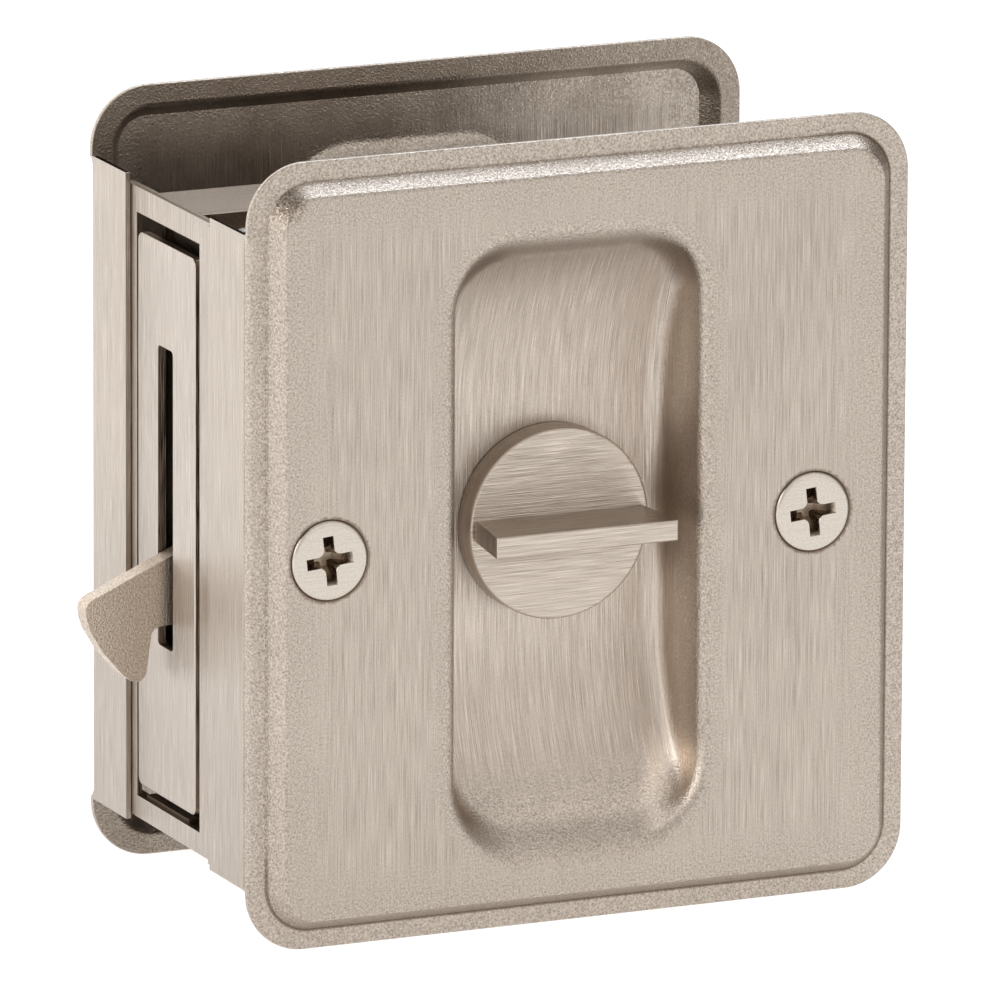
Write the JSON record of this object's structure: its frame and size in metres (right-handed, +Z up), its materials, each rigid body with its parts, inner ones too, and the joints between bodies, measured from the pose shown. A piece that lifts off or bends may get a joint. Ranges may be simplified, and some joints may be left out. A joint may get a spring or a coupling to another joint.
{
  "type": "pocket door lock",
  "caption": "Adjustable privacy lock for a sliding pocket door: square trims with finger cups, thumb turn, coin release and a swinging hook bolt at the door edge.",
  "frame": {"origin": "on the outer plane of the edge flange, which lies flush with the door's edge, midway between the two rims at the pictured setting and at mid height", "axes": "+X from the door's edge into the door, +Y through the door from the thumb turn side to the release side, +Z up"},
  "size_m": [0.0779, 0.0449, 0.0778],
  "materials": {
    "trim_nickel": "satin nickel plate, vertically brushed faces with a grainy rim",
    "face_nickel": "satin nickel plate, fine vertical brushing",
    "case_steel": "dull nickel plated steel sheet",
    "turn_nickel": "satin nickel plated casting, brushed across",
    "hook_steel": "tumbled steel with brighter edges",
    "screw_nickel": "smooth nickel plate",
    "hub_brass": "plain machined brass",
    "spring_steel": "blued spring steel",
    "plain_steel": "plain zinc plated steel"
  },
  "bodies": {
    "front_assembly": {"front_trim": "trim_nickel", "case_body": "case_steel", "case_cover": "case_steel", "case_rivets": "plain_steel", "faceplate": "face_nickel", "faceplate_rivets": "plain_steel", "hook_pivot": "plain_steel", "pivot_spacer": "plain_steel", "detent_spring": "spring_steel", "spring_rivet": "plain_steel", "screw_left": "screw_nickel", "screw_right": "screw_nickel"},
    "rear_assembly": {"rear_trim": "trim_nickel", "post_left": "plain_steel", "post_right": "plain_steel"},
    "turn_assembly": {"thumb_turn": "turn_nickel", "turn_blade": "plain_steel", "turn_washer": "plain_steel", "turn_clip": "spring_steel", "hub": "hub_brass", "hub_link_pin": "plain_steel"},
    "hook_assembly": {"hook_bolt": "hook_steel", "hook_link_pin": "plain_steel"},
    "link": {"drive_link": "plain_steel"},
    "release_assembly": {"release_button": "turn_nickel", "release_blade": "plain_steel", "release_washer": "plain_steel", "release_clip": "spring_steel"}
  },
  "joints": [
    {"name": "thumb_turn_turn", "type": "hinge", "parent": "front_assembly", "child": "turn_assembly", "pos_m": [0.0343, 0, 0], "axis": [0, 1, 0], "range_deg": [0, 90]},
    {"name": "hook_swing", "type": "hinge", "parent": "front_assembly", "child": "hook_assembly", "pos_m": [0.014, 0, -0.0045], "axis": [0, 1, 0], "range_deg": [0, 90]},
    {"name": "link_pivot", "type": "hinge", "parent": "turn_assembly", "child": "link", "pos_m": [0.04167, 0, -0.00516], "axis": [0, 1, 0], "range_deg": [-90, 0]},
    {"name": "thickness_slide", "type": "slide", "parent": "front_assembly", "child": "rear_assembly", "axis": [0, 1, 0], "range_m": [-0.00315, 0.0062]},
    {"name": "release_turn", "type": "hinge", "parent": "rear_assembly", "child": "release_assembly", "pos_m": [0.0343, 0, 0], "axis": [0, 1, 0], "range_deg": [0, 90]}
  ],
  "couplings": [
    {"joint": "hook_swing", "follows": "thumb_turn_turn", "ratio": 1},
    {"joint": "link_pivot", "follows": "thumb_turn_turn", "ratio": -1},
    {"joint": "release_turn", "follows": "thumb_turn_turn", "ratio": 1}
  ]
}
